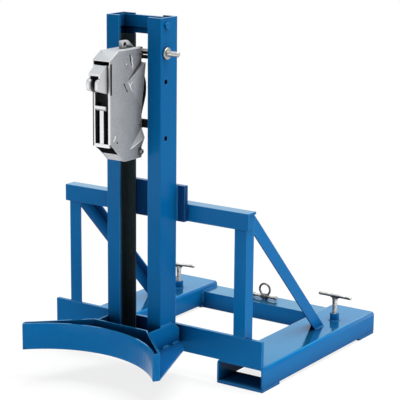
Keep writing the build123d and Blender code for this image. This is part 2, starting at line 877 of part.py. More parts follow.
def clamp_pad(x, y):
    """Round pad on the nose of the screw; it presses on the fork."""
    top = pocket_roof - pad_retreat
    pad = rod_z(pad_diameter, x, y, top - pad_thickness, top)
    socket_floor = top - screw_nose_length - seat_play
    return pad - rod_z(screw_nose_diameter + 2 * running_fit, x, y, socket_floor, pocket_top)


def shackle_lug():
    """Rounded lug on the rear crossbar with the hole for the shackle's pin."""
    half = shackle_lug_thickness / 2
    width = shackle_lug_width / 2
    lug = block(-half, half, rear_bar_y - width, rear_bar_y + width, rear_bar_height, shackle_z)
    lug += rod_x(shackle_lug_width, -half, half, rear_bar_y, shackle_z)
    lug -= rod_x(shackle_pin_diameter + 2 * running_fit, -half, half, rear_bar_y, shackle_z)
    return Pos(shackle_offset, 0, 0) * lug


def shackle_pin():
    """Long pin of the shackle with a knob on its right end and a nut on its left."""
    half = shackle_pin_half
    inner = half - shackle_knob_length
    pin = rod_x(shackle_pin_diameter, -half, half, rear_bar_y, shackle_z)
    knob = rod_x(shackle_knob_diameter, inner, half, rear_bar_y, shackle_z)
    knob = chamfer(knob.edges().filter_by(GeomType.CIRCLE), shackle_knob_chamfer)
    nut = hex_x(shackle_pin_diameter * bolt_head_ratio, -half, -inner, rear_bar_y, shackle_z)
    return Pos(shackle_offset, 0, 0) * (pin + knob + nut)


def shackle_bow():
    """Round bow: most of a ring of forged wire, with flats, between two eyes on the pin."""
    eye_inner = shackle_lug_thickness / 2 + slide_play
    eye_outer = eye_inner + shackle_wire
    ring = (shackle_ring_diameter - shackle_wire) / 2
    leg = (eye_inner + eye_outer) / 2
    drop = math.sqrt(ring**2 - leg**2)
    ring_z = shackle_z + (shackle_eye_diameter - slide_play) / 2 + drop - shackle_wire / 4
    start = math.degrees(math.atan2(-drop, leg))
    section = Pos(ring, 0) * RegularPolygon(shackle_wire / 2, shackle_wire_flats)
    wire = revolve(section, Axis.Y, 180 - 2 * start)
    wire = Pos(0, rear_bar_y, ring_z) * Rot(0, start - 180, 0) * wire
    eye = rod_x(shackle_eye_diameter, eye_inner, eye_outer, rear_bar_y, shackle_z)
    bore = rod_x(shackle_pin_diameter + 2 * running_fit, -ring, ring, rear_bar_y, shackle_z)
    return Pos(shackle_offset, 0, 0) * (wire + eye + mirrored(eye) - bore)


def pair(name, shape):
    """A piece and its mirror image as two nodes."""
    return {name + "_right": shape, name + "_left": mirrored(shape)}


def build():
    """All pieces by node name, before the move to the middle of the footprint."""
    nodes = {
        "pocket_straps": pocket_straps(),
        "front_crossbar": front_crossbar(),
        "rear_crossbar": rear_crossbar(),
        "upper_beam": upper_beam(),
        "beam_caps": beam_caps(),
        "back_plate": back_plate(),
        "mast_header": mast_header(),
        "header_bolts": header_bolts(),
        "height_pin": height_pin(),
        "cradle_arc": cradle_arc(),
        "cradle_ends": cradle_ends(),
        "cradle_back": cradle_back(),
        "cradle_floor": cradle_floor(),
        "head_cap": head_cap(),
        "head_foot": head_foot(),
        "head_sill": head_sill(),
        "head_lug": head_lug(),
        "slide_block_upper": slide_block_upper(),
        "slide_block_lower": slide_block_lower(),
        "block_rivets": block_rivets(),
        "cross_bolt": cross_bolt(),
        "beak": beak(),
        "beak_pin": beak_pin(),
        "lower_jaw": lower_jaw(),
        "jaw_peg": jaw_peg_pin(),
        "jaw_guides": jaw_guides(),
        "shackle_lug": shackle_lug(),
        "shackle_pin": shackle_pin(),
        "shackle_bow": shackle_bow(),
    }
    nodes["fork_pocket_right"] = fork_pocket(clamp_right)
    nodes["fork_pocket_left"] = mirrored(fork_pocket((-clamp_left[0], clamp_left[1])))
    nodes.update(pair("upright", upright()))
    nodes.update(pair("brace", brace()))
    nodes.update(pair("mast_post", mast_post()))
    nodes.update(pair("guide_liner", guide_liner()))
    nodes.update(pair("mast_gusset", mast_gusset()))
    nodes.update(pair("cheek", cheek()))
    for side, place, turn in (("right", clamp_right, 0), ("left", clamp_left, handle_left_angle)):
        nodes["clamp_boss_" + side] = clamp_boss(*place)
        nodes["clamp_screw_" + side] = clamp_screw(*place, turn)
        nodes["clamp_pad_" + side] = clamp_pad(*place)
    return nodes


os.makedirs("parts", exist_ok=True)
for node, shape in build().items():
    export_step(Pos(0, -footprint_middle, 0) * shape, "parts/" + node + ".step")
print("footprint middle lies", round(footprint_middle, 2), "mm behind the crossbar's face")
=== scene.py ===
# %% [markdown]
# A drum attachment for a lift truck, dressed in Blender around its CAD model. The CAD solids already have
# the right sizes and places, so this lesson gives them what solids lack: softened edges, weld beads,
# threads, and finishes that change over the surface.

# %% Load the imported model
import bpy
import bmesh
import json
import math
from mathutils import Matrix, Vector


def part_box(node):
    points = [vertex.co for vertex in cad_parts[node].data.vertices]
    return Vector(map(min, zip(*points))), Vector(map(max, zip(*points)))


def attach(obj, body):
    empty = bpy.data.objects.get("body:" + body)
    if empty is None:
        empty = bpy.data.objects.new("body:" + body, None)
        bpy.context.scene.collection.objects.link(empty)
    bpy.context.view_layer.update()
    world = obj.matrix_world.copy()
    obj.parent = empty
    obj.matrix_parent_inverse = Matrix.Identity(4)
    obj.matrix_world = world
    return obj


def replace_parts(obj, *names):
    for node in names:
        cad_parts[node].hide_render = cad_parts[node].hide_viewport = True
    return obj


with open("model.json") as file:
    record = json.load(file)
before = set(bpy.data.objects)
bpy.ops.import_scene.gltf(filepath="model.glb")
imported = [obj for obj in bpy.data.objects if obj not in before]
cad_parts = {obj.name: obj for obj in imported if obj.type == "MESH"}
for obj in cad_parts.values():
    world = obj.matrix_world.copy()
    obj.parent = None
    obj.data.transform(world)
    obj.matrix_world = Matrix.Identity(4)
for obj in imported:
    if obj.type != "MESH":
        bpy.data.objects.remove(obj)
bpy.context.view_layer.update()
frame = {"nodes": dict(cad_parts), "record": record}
nodes = frame["nodes"]
scene = bpy.context.scene
scene.view_settings.view_transform = "Standard"

# %% [markdown]
# The camera was worked out from the photograph: straight edges of the frame give the direction, and how
# fast they converge gives the distance and so the lens. It stands in front and to the right, a little above
# the mast, and leans by half a degree. A long lens keeps the uprights nearly parallel.

# %% Camera at the photograph's viewing angle
AZIMUTH = math.radians(34.0909)
PITCH = math.radians(13.2155)
ROLL = math.radians(0.52)
FOCAL_IN_PIXELS = 1513.7
IMAGE_SIDE = 400
SENSOR = 36.0
SIGHT_LIMIT = 50
CAMERA_PLACE = Vector((2.5184, -3.6596, 1.5259))

forward = Vector((
    -math.sin(AZIMUTH) * math.cos(PITCH),
    math.cos(AZIMUTH) * math.cos(PITCH),
    -math.sin(PITCH),
))
level_right = forward.cross(Vector((0, 0, 1))).normalized()
level_up = level_right.cross(forward)
camera_right = level_right * math.cos(ROLL) + level_up * math.sin(ROLL)
camera_up = camera_right.cross(forward)
camera_data = bpy.data.cameras.new("photo_camera")
camera_data.sensor_width = SENSOR
camera_data.lens = FOCAL_IN_PIXELS * SENSOR / IMAGE_SIDE
camera_data.clip_end = SIGHT_LIMIT
camera = bpy.data.objects.new("photo_camera", camera_data)
turn = Matrix((camera_right, camera_up, -forward)).transposed()
camera.matrix_world = Matrix.Translation(CAMERA_PLACE) @ turn.to_4x4()
scene.collection.objects.link(camera)
scene.camera = camera
print("camera lens", round(camera_data.lens, 1), "mm")

# %% [markdown]
# The surround is a white world. Seen by the camera and in reflections it is plain white; what it sends onto
# the object is a softer, even light. One strength for both would either grey the background or drown the
# shading, so the Light Path node tells the two apart.

# %% Stage: the surround
SURROUND_LIGHT = 0.20


def link(tree, source, target):
    """Joins two sockets of a node tree."""
    tree.links.new(source, target)


def feed(tree, value, target):
    """Gives a socket its value: another socket's output, or a plain number or colour."""
    if hasattr(value, "is_output"):
        link(tree, value, target)
    else:
        target.default_value = value


def math_node(tree, operation, first, second, clamp=False):
    """Math node fed by sockets or plain numbers."""
    node = tree.nodes.new("ShaderNodeMath")
    node.operation = operation
    node.use_clamp = clamp
    feed(tree, first, node.inputs[0])
    feed(tree, second, node.inputs[1])
    return node.outputs[0]


def spread(tree, mask, low, high):
    """Value between low and high as the mask goes from 0 to 1."""
    node = tree.nodes.new("ShaderNodeMapRange")
    node.inputs["To Min"].default_value = low
    node.inputs["To Max"].default_value = high
    link(tree, mask, node.inputs["Value"])
    return node.outputs[0]


def looked_at(tree):
    """1 for what the camera or a reflection sees, 0 for what lights the object."""
    rays = tree.nodes.new("ShaderNodeLightPath")
    return math_node(tree, "MAXIMUM", rays.outputs["Is Camera Ray"], rays.outputs["Is Glossy Ray"])


world = bpy.data.worlds.new("white_surround")
world.use_nodes = True
scene.world = world
tree = world.node_tree
background = tree.nodes["Background"]
background.inputs["Color"].default_value = (1, 1, 1, 1)
link(tree, spread(tree, looked_at(tree), SURROUND_LIGHT, 1.0), background.inputs["Strength"])
print("surround lights the object at", SURROUND_LIGHT)

# %% [markdown]
# The floor is one large pale sheet. Near the attachment it is partly a lit surface, so that it keeps a soft
# shadow. Further out it passes over into its own white, and no line shows where it meets the surround.

# %% Stage: the floor
FLOOR_HALF = 9.0
FLOOR_DROP = 0.0005
FLOOR_OWN_WHITE = 0.82
SHADOW_REACH = (0.55, 1.5)
PAPER = (0.92, 0.92, 0.92, 1)

floor_mesh = bpy.data.meshes.new("floor")
corners = [(FLOOR_HALF * x, FLOOR_HALF * y, 0) for x, y in ((-1, -1), (1, -1), (1, 1), (-1, 1))]
floor_mesh.from_pydata(corners, [], [(0, 1, 2, 3)])
floor = bpy.data.objects.new("floor", floor_mesh)
floor.location.z = -FLOOR_DROP
scene.collection.objects.link(floor)

paper = bpy.data.materials.new("white_paper")
paper.use_nodes = True
tree = paper.node_tree
lit = tree.nodes["Principled BSDF"]
lit.inputs["Base Color"].default_value = PAPER
lit.inputs["Roughness"].default_value = 0.9
lit.inputs["Specular IOR Level"].default_value = 0.0
own = tree.nodes.new("ShaderNodeEmission")
place = tree.nodes.new("ShaderNodeNewGeometry")
reach = tree.nodes.new("ShaderNodeVectorMath")
reach.operation = "LENGTH"
link(tree, place.outputs["Position"], reach.inputs[0])
fade = tree.nodes.new("ShaderNodeMapRange")
fade.interpolation_type = "SMOOTHSTEP"
fade.inputs["From Min"].default_value, fade.inputs["From Max"].default_value = SHADOW_REACH
fade.inputs["To Min"].default_value = FLOOR_OWN_WHITE
fade.inputs["To Max"].default_value = 1.0
link(tree, reach.outputs["Value"], fade.inputs["Value"])
mix = tree.nodes.new("ShaderNodeMixShader")
link(tree, math_node(tree, "MULTIPLY", looked_at(tree), fade.outputs[0]), mix.inputs[0])
link(tree, lit.outputs[0], mix.inputs[1])
link(tree, own.outputs[0], mix.inputs[2])
link(tree, mix.outputs[0], tree.nodes["Material Output"].inputs["Surface"])
floor_mesh.materials.append(paper)
print("floor", 2 * FLOOR_HALF, "m wide")

# %% [markdown]
# Three large soft lamps do the shaping. One hangs overhead, because tops are the palest faces in the
# photograph. One stands low on the right, so that faces turned that way come out brighter than the fronts,
# and the more so the lower they are. A weak one fills in from the front left.

# %% Lamps
LAMPS = [
    ("top_softbox", (0.9, 0.5, 6.0), (5.0, 5.0), 560.0),
    ("side_softbox", (2.0, 0.1, 0.26), (1.8, 0.5), 11.0),
    ("fill_softbox", (-0.7, -2.1, 0.26), (1.8, 0.5), 9.0),
]
AIM = Vector((0, 0, 0.3))

for name, place, size, power in LAMPS:
    lamp_data = bpy.data.lights.new(name, "AREA")
    lamp_data.shape = "RECTANGLE"
    lamp_data.size, lamp_data.size_y = size
    lamp_data.energy = power
    lamp = bpy.data.objects.new(name, lamp_data)
    lamp.location = place
    lamp.rotation_euler = (AIM - Vector(place)).to_track_quat("-Z", "Y").to_euler()
    scene.collection.objects.link(lamp)
print(len(LAMPS), "soft lamps")

# %% [markdown]
# Effects that several finishes share are node groups, built once. Each group puts out a mask or a value,
# and each finish decides what to do with it. The first two are plain noise in the piece's own coordinates,
# so that they move with the piece. Mottle is slow: the faint unevenness that any coat of paint or rolled
# sheet has. Grain is fine and goes into bump: orange peel in paint, or the tooth of cast and moulded faces.

# %% Shared effects: mottle and grain


def new_group(name, inputs, output):
    """Empty shader group with float inputs that have defaults, and one float output."""
    group = bpy.data.node_groups.new(name, "ShaderNodeTree")
    for label, value in inputs.items():
        socket = group.interface.new_socket(label, in_out="INPUT", socket_type="NodeSocketFloat")
        socket.default_value = value
    group.interface.new_socket(output, in_out="OUTPUT", socket_type="NodeSocketFloat")
    start = group.nodes.new("NodeGroupInput")
    end = group.nodes.new("NodeGroupOutput")
    return group, start.outputs, end.inputs[output]


def noise(tree, scale, detail, roughness=0.5):
    """Noise between 0 and 1 in the piece's own coordinates."""
    place = tree.nodes.new("ShaderNodeTexCoord")
    node = tree.nodes.new("ShaderNodeTexNoise")
    link(tree, place.outputs["Object"], node.inputs["Vector"])
    feed(tree, scale, node.inputs["Scale"])
    feed(tree, detail, node.inputs["Detail"])
    feed(tree, roughness, node.inputs["Roughness"])
    return node.outputs["Fac"]


def make_mottle():
    """Slow unevenness between 0 and 1, with a finer layer on top."""
    group, given, result = new_group("mottle", {"Scale": 6.0, "Contrast": 1.5}, "Value")
    centred = math_node(group, "SUBTRACT", noise(group, given["Scale"], 5.0, 0.6), 0.5)
    stretched = math_node(group, "MULTIPLY", centred, given["Contrast"])
    link(group, math_node(group, "ADD", stretched, 0.5, clamp=True), result)
    return group


def make_grain():
    """Fine relief."""
    group, given, result = new_group("grain", {"Scale": 300.0, "Detail": 2.0}, "Height")
    link(group, noise(group, given["Scale"], given["Detail"]), result)
    return group


MOTTLE = make_mottle()
GRAIN = make_grain()
print("node groups:", MOTTLE.name, "and", GRAIN.name)

# %% [markdown]
# Three groups find places on a piece. Edges come from a bevel node, which turns the normal near an edge:
# the more it turns, the nearer the edge. Corners, where light and cloths don't reach, come from ambient
# occlusion. The last picks out faces that are turned one way, such as the tops that take dust and painted
# light; it works in the piece's own axes and so moves with the piece.

# %% Shared effects: edges, corners and facing


def dot_product(tree, first, second):
    """How far two directions agree, from -1 to 1."""
    node = tree.nodes.new("ShaderNodeVectorMath")
    node.operation = "DOT_PRODUCT"
    link(tree, first, node.inputs[0])
    link(tree, second, node.inputs[1])
    return node.outputs["Value"]


def make_edges():
    """Mask that is 1 on sharp edges and 0 on flats, broken up by noise."""
    values = {"Width": 0.003, "Strength": 3.0, "Breakup": 60.0}
    group, given, result = new_group("edges", values, "Mask")
    bevel = group.nodes.new("ShaderNodeBevel")
    bevel.samples = 6
    link(group, given["Width"], bevel.inputs["Radius"])
    flat = group.nodes.new("ShaderNodeNewGeometry")
    agreed = dot_product(group, bevel.outputs["Normal"], flat.outputs["Normal"])
    turned = math_node(group, "SUBTRACT", 1.0, agreed)
    broken = math_node(group, "MULTIPLY", turned, noise(group, given["Breakup"], 4.0))
    link(group, math_node(group, "MULTIPLY", broken, given["Strength"], clamp=True), result)
    return group


def make_corners():
    """Mask that is 1 deep in corners and slots and 0 in the open."""
    group, given, result = new_group("corners", {"Reach": 0.03, "Power": 1.5}, "Mask")
    shade = group.nodes.new("ShaderNodeAmbientOcclusion")
    shade.samples = 8
    link(group, given["Reach"], shade.inputs["Distance"])
    hidden = math_node(group, "SUBTRACT", 1.0, shade.outputs["AO"], clamp=True)
    link(group, math_node(group, "POWER", hidden, given["Power"]), result)
    return group


def make_facing():
    """Mask that is 1 on faces turned along a direction of the piece and 0 on faces turned away."""
    values = {"X": 0.0, "Y": 0.0, "Z": 1.0, "Start": 0.5, "Full": 0.9}
    group, given, result = new_group("facing", values, "Mask")
    place = group.nodes.new("ShaderNodeTexCoord")
    aim = group.nodes.new("ShaderNodeCombineXYZ")
    for axis in "XYZ":
        link(group, given[axis], aim.inputs[axis])
    climb = group.nodes.new("ShaderNodeMapRange")
    link(group, dot_product(group, place.outputs["Normal"], aim.outputs[0]), climb.inputs["Value"])
    link(group, given["Start"], climb.inputs["From Min"])
    link(group, given["Full"], climb.inputs["From Max"])
    link(group, climb.outputs[0], result)
    return group


EDGES = make_edges()
CORNERS = make_corners()
FACING = make_facing()
print("node groups:", EDGES.name + ",", CORNERS.name, "and", FACING.name)

# %% [markdown]
# A finish is a Principled shader whose colour is mixed in layers. Helpers keep each finish short: one
# places a group with its own values, one mixes two colours by a mask, two turn a value into a mask, one
# that rises between two levels and one that rises steeply from a level on, and one turns a height into a
# bump.

# %% Helpers for finishes


def new_finish(name):
    """Material with its tree and its Principled shader."""
    material = bpy.data.materials.new(name)
    material.use_nodes = True
    print("finish", name)
    return material, material.node_tree, material.node_tree.nodes["Principled BSDF"]


def place_group(tree, group, **values):
    """Puts a shared group in a material and returns its only output."""
    node = tree.nodes.new("ShaderNodeGroup")
    node.node_tree = group
    for label, value in values.items():
        node.inputs[label].default_value = value
    return node.outputs[0]


def mix_colour(tree, mask, below, above):
    """Colour that goes from below, a shade or a socket, to a shade above as the mask rises."""
    node = tree.nodes.new("ShaderNodeMix")
    node.data_type = "RGBA"
    link(tree, mask, node.inputs["Factor"])
    feed(tree, (*below, 1) if isinstance(below, tuple) else below, node.inputs[6])
    feed(tree, (*above, 1), node.inputs[7])
    return node.outputs[2]


def ramp(tree, value, start, full):
    """Mask that rises from 0 to 1 as a value goes from start to full."""
    node = tree.nodes.new("ShaderNodeMapRange")
    node.inputs["From Min"].default_value = start
    node.inputs["From Max"].default_value = full
    link(tree, value, node.inputs["Value"])
    return node.outputs[0]


def steep(tree, mask, start, gain):
    """Mask that stays 0 up to a start and then rises by a gain."""
    past = math_node(tree, "SUBTRACT", mask, start, clamp=True)
    return math_node(tree, "MULTIPLY", past, gain, clamp=True)


def bump(tree, shader, height, strength, distance):
    """Feeds a height to the shader's normal."""
    node = tree.nodes.new("ShaderNodeBump")
    node.inputs["Strength"].default_value = strength
    node.inputs["Distance"].default_value = distance
    link(tree, height, node.inputs["Height"])
    link(tree, node.outputs["Normal"], shader.inputs["Normal"])


print("helpers ready")

# %% [markdown]
# The frame is sprayed in a clear mid blue with a wet gloss: seen at a low angle the tops turn pale, because
# they mirror the white around them and carry a film of dust, and a paler colour on tops adds painted light
# from above. A clear coat alone would mirror it greyish, so on tops the gloss is tinted too: at a slant,
# which the Layer Weight node gives, the paint takes on a share of metal in its own blue. The colour itself
# is mottled a little. Painted shade darkens it on undersides and in corners and makes it nearly black inside
# the pockets, and a painted highlight makes it paler on edges, where the coat is also thin.

# %% Finish: the recipe for blue gloss paint
PAINT_IOR = 1.12
COAT_ROUGHNESS = 0.04
# Painted shade for corners, deep hollows and undersides, and a painted highlight for edges.
CORNER_SHADE = (0.002, 0.020, 0.085)
UNLIT = (0.001, 0.010, 0.040)
UNDERSIDE_SHADE = (0.004, 0.022, 0.085)
THIN_COAT_GLINT = (0.12, 0.40, 0.66)
COAT_SLANT = (0.58, 0.80)
TINT_SLANT = (0.42, 0.62)


def slanting_gloss(tree, shader, tops, flake):
    """Clear coat and metal share that come in at a slant; flake is the metal share on tops."""
    slant = tree.nodes.new("ShaderNodeLayerWeight").outputs["Facing"]
    clear = math_node(tree, "MULTIPLY", ramp(tree, slant, *COAT_SLANT), spread(tree, tops, 0.3, 0.1))
    link(tree, clear, shader.inputs["Coat Weight"])
    tint = math_node(tree, "MULTIPLY", ramp(tree, slant, *TINT_SLANT), spread(tree, tops, 0.0, flake))
    link(tree, tint, shader.inputs["Metallic"])


def blue_paint(name, low, high, top_dust_and_light, flake=0.75, shade_depth=2.1):
    """Mottled blue paint, a third shade for tops with dust and painted light; the last argument sets painted
    shade in hollows.
    """
    material, tree, shader = new_finish(name)
    shader.inputs["IOR"].default_value = PAINT_IOR
    shader.inputs["Coat Roughness"].default_value = COAT_ROUGHNESS
    tops = place_group(tree, FACING, Z=1.0, Start=0.78, Full=0.97)
    slanting_gloss(tree, shader, tops, flake)
    mottle = place_group(tree, MOTTLE, Scale=5.0, Contrast=1.6)
    colour = mix_colour(tree, mottle, low, high)
    hollow_shade = place_group(tree, CORNERS, Reach=0.12, Power=0.9)
    open_tops = math_node(tree, "MULTIPLY", tops, spread(tree, hollow_shade, 1.0, -0.2))
    # Dust on open tops, in a paler shade that also paints the light falling on tops from above.
    dust_and_top_light = math_node(tree, "MULTIPLY", open_tops, spread(tree, mottle, 0.75, 1.0), clamp=True)
    colour = mix_colour(tree, dust_and_top_light, colour, top_dust_and_light)
    # Painted shade in corners.
    colour = mix_colour(tree, place_group(tree, CORNERS, Reach=0.035, Power=1.6), colour, CORNER_SHADE)
    # Painted shade: nearly black deep in hollows such as the pockets.
    colour = mix_colour(tree, steep(tree, hollow_shade, 0.36, shade_depth), colour, UNLIT)
    # Painted shade on faces turned down.
    underside_shade = place_group(tree, FACING, Z=-1.0, Start=0.25, Full=0.65)
    colour = mix_colour(tree, math_node(tree, "MULTIPLY", underside_shade, 0.8), colour, UNDERSIDE_SHADE)
    # Painted highlight on edges, where the coat is also thin.
    edges = place_group(tree, EDGES, Width=0.003, Strength=2.4, Breakup=90.0)
    link(tree, mix_colour(tree, edges, colour, THIN_COAT_GLINT), shader.inputs["Base Color"])
    smooth = math_node(tree, "MULTIPLY", spread(tree, mottle, 0.16, 0.28), spread(tree, tops, 1.0, 0.5))
    link(tree, smooth, shader.inputs["Roughness"])
    bump(tree, shader, place_group(tree, GRAIN, Scale=420.0, Detail=1.5), 0.06, 0.0004)
    return material


print("recipe for blue paint ready")

# %% [markdown]
# One can of paint doesn't look the same all over the frame, so the recipe is used with several shades. The
# posts take a darker copy, painted shade. The tops of the two cross members are paler still: dust, with a
# painted highlight on it. A darker copy paints the shade on the floor of the cradle, and a darker one still
# the shade on the plate behind the mast. The straps under the pockets lie in shade, where the darkening of
# hollows would add too much, so they take little of it.

# %% Finishes: the blue paints
BLUE = blue_paint("blue_gloss_paint", (0.002, 0.114, 0.325), (0.004, 0.136, 0.362), (0.020, 0.260, 0.530))
# A darker copy for the posts: painted shade.
POST_SHADE = blue_paint("post_shade_blue_paint", (0.001, 0.100, 0.290), (0.002, 0.119, 0.322), (0.020, 0.260, 0.530))
# Cross members: dust on the tops, with painted highlight in the same paler shade.
DUST_AND_LIGHT = blue_paint("dust_and_light_blue_paint", (0.002, 0.108, 0.312), (0.004, 0.128, 0.345), (0.085, 0.325, 0.545))
# A darker copy for the floor of the cradle: painted shade.
CRADLE_SHADE = blue_paint(
    "cradle_shade_blue_paint", (0.005, 0.098, 0.295), (0.008, 0.116, 0.330), (0.009, 0.124, 0.340), flake=0.2)
# A darker copy still for the plate behind the mast: painted shade.
PLATE_SHADE = blue_paint(
    "plate_shade_blue_paint", (0.004, 0.044, 0.150), (0.007, 0.056, 0.180), (0.020, 0.150, 0.320), flake=0.5)
SHADED = blue_paint(
    "shaded_blue_paint", (0.014, 0.130, 0.350), (0.018, 0.150, 0.380), (0.018, 0.150, 0.380),
    flake=0.0, shade_depth=0.3)

# %% [markdown]
# The liners in the posts and the blocks that run in them are black plastic: satin, hardly glossy, with a
# faint grey bloom on edges. The liners take a paler, bluish copy, painted light inside the shaded posts. The
# black strip at the head's foot is painted shade, blacker than either, and takes the same recipe with
# hardly any bloom.

# %% Finishes: black guide plastic, plain and with painted light, and black for painted shade
PLASTIC_IOR = 1.03
GREY_BLOOM = (0.06, 0.065, 0.065)


def guide_plastic(name, low, high, bloom):
    """Black plastic mottled between two shades, with a paler bloom on edges."""
    material, tree, shader = new_finish(name)
    shader.inputs["IOR"].default_value = PLASTIC_IOR
    mottle = place_group(tree, MOTTLE, Scale=14.0, Contrast=1.4)
    colour = mix_colour(tree, mottle, low, high)
    edges = place_group(tree, EDGES, Width=0.002, Strength=1.5, Breakup=120.0)
    link(tree, mix_colour(tree, edges, colour, bloom), shader.inputs["Base Color"])
    link(tree, spread(tree, mottle, 0.38, 0.58), shader.inputs["Roughness"])
    bump(tree, shader, place_group(tree, GRAIN, Scale=700.0, Detail=2.0), 0.10, 0.0003)
    return material


BLACK = guide_plastic("black_guide_plastic", (0.008, 0.010, 0.010), (0.020, 0.023, 0.024), GREY_BLOOM)
# A paler, bluish copy for the liners: painted light inside the shaded posts.
LIT_LINER = guide_plastic("lit_guide_plastic", (0.034, 0.050, 0.056), (0.056, 0.078, 0.086), GREY_BLOOM)
# Near-black for the strip at the head's foot: painted shade.
SHADE_BLACK = guide_plastic("painted_shade_black", (0.002, 0.002, 0.002), (0.004, 0.004, 0.004), (0.006, 0.006, 0.006))

# %% [markdown]
# The gripping head is pressed steel with a dull silver coat. It isn't a mirror: a rough, partly metallic
# surface gives the even, finely speckled grey of its cheeks. Its front and its top are painted nearly white:
# painted light. Edges and creases get a painted highlight. Its recesses are painted black, painted shade,
# which is what the corner mask is for. The beak and the foot take a paler copy and the ribs and the lug a
# paler one still: painted light that makes them stand out.

# %% Finishes: silver head steel, plain and in two copies painted lighter
SPECKLE = (0.46, 0.47, 0.48)
# Painted light on faces turned forward and up, and more on faces turned forward.
TOP_FRONT_LIGHT = (0.43, 0.45, 0.47)
FRONT_LIGHT = (0.66, 0.67, 0.68)
STEEL_EDGE_GLINT = (0.70, 0.71, 0.72)
RECESS_SHADE = (0.004, 0.004, 0.004)


def head_steel(name, low, high):
    """Silver coat mottled between two shades."""
    material, tree, shader = new_finish(name)
    shader.inputs["Metallic"].default_value = 0.35
    mottle = place_group(tree, MOTTLE, Scale=18.0, Contrast=1.6)
    colour = mix_colour(tree, mottle, low, high)
    speckle = place_group(tree, MOTTLE, Scale=170.0, Contrast=2.6)
    colour = mix_colour(tree, math_node(tree, "MULTIPLY", speckle, 0.35), colour, SPECKLE)
    # Painted light on the top and front faces.
    lit_top_front = place_group(tree, FACING, Y=-0.75, Z=0.66, Start=0.35, Full=0.66)
    colour = mix_colour(tree, lit_top_front, colour, TOP_FRONT_LIGHT)
    lit_front = place_group(tree, FACING, Y=-1.0, Z=0.0, Start=0.70, Full=0.95)
    colour = mix_colour(tree, lit_front, colour, FRONT_LIGHT)
    # Painted highlight on edges.
    edges = place_group(tree, EDGES, Width=0.004, Strength=3.4, Breakup=70.0)
    colour = mix_colour(tree, edges, colour, STEEL_EDGE_GLINT)
    # Painted shade, nearly black, in recesses; roughness rises with it.
    recess_shade = steep(tree, place_group(tree, CORNERS, Reach=0.06, Power=1.0), 0.22, 3.4)
    link(tree, mix_colour(tree, recess_shade, colour, RECESS_SHADE), shader.inputs["Base Color"])
    link(tree, spread(tree, recess_shade, 0.42, 0.85), shader.inputs["Roughness"])
    bump(tree, shader, place_group(tree, GRAIN, Scale=260.0, Detail=4.0), 0.14, 0.0004)
    return material


SILVER = head_steel("silver_head_steel", (0.235, 0.245, 0.260), (0.320, 0.330, 0.345))
# Paler copies: painted light on the beak and the foot, painted highlight on the ribs and the lug.
LIT_HEAD_STEEL = head_steel("lit_head_steel", (0.42, 0.43, 0.44), (0.54, 0.55, 0.56))
GLINT_HEAD_STEEL = head_steel("glint_head_steel", (0.66, 0.67, 0.68), (0.82, 0.83, 0.84))

# %% [markdown]
# Pins, screws and bolts are zinc plated: brighter and smoother than the head, and fully metallic, so they
# pick up the white around them. Painted shade darkens them where they face each other.

# %% Finish: zinc plated steel
ZINC, tree, shader = new_finish("zinc_plated_steel")
shader.inputs["Metallic"].default_value = 1.0
mottle = place_group(tree, MOTTLE, Scale=40.0, Contrast=1.6)
colour = mix_colour(tree, mottle, (0.30, 0.30, 0.29), (0.54, 0.54, 0.52))
# Painted shade where pieces face each other.
corners = place_group(tree, CORNERS, Reach=0.012, Power=1.3)
link(tree, mix_colour(tree, corners, colour, (0.03, 0.03, 0.03)), shader.inputs["Base Color"])
link(tree, spread(tree, mottle, 0.26, 0.44), shader.inputs["Roughness"])
bump(tree, shader, place_group(tree, GRAIN, Scale=500.0, Detail=3.0), 0.08, 0.0003)

# %% [markdown]
# The shackle's bow and the T handles are forgings, dark from the heat and rough. The handles are bright on
# the faces turned up and to the right, worn patches with a painted highlight: the facing mask, broken up by
# mottling, puts the bright metal there. The bow hangs untouched, so the same recipe is used with hardly any
# of it.

# %% Finishes: forged steel, worn with painted highlight, and dark
WEAR_AND_GLINT = (0.66, 0.66, 0.64)
WORN_EDGE = (0.45, 0.45, 0.44)


def forged_steel(name, wear_and_glint_share):
    """Dark forging skin, bright where a share of it is worn and given a painted highlight."""
    material, tree, shader = new_finish(name)
    shader.inputs["Metallic"].default_value = 0.8
    mottle = place_group(tree, MOTTLE, Scale=60.0, Contrast=1.8)
    colour = mix_colour(tree, mottle, (0.010, 0.010, 0.011), (0.060, 0.060, 0.060))
    # Worn patches and painted highlight on faces turned up and to the right.
    wear_and_glint = place_group(tree, FACING, X=0.62, Y=-0.18, Z=0.76, Start=0.05, Full=0.62)
    patches = spread(tree, mottle, 0.35 * wear_and_glint_share, 1.15 * wear_and_glint_share)
    patchy = math_node(tree, "MULTIPLY", wear_and_glint, patches, clamp=True)
    colour = mix_colour(tree, patchy, colour, WEAR_AND_GLINT)
    edges = place_group(tree, EDGES, Width=0.0012, Strength=2.0, Breakup=200.0)
    colour = mix_colour(tree, math_node(tree, "MULTIPLY", edges, wear_and_glint_share), colour, WORN_EDGE)
    link(tree, colour, shader.inputs["Base Color"])
    link(tree, spread(tree, mottle, 0.28, 0.48), shader.inputs["Roughness"])
    bump(tree, shader, place_group(tree, GRAIN, Scale=350.0, Detail=4.0), 0.20, 0.0004)
    return material


WORN_AND_LIT = forged_steel("worn_lit_forged_steel", 1.0)
FORGED = forged_steel("dark_forged_steel", 0.25)

# %% [markdown]
# Each CAD node takes the finish of its material slot, unless it has one of its own. Then every node gets
# soft edges: the mesh comes with its faces apart, so a weld modifier joins them first, and a bevel modifier
# rounds what is sharp. One small radius suits sheared sheet and sawn angle alike.

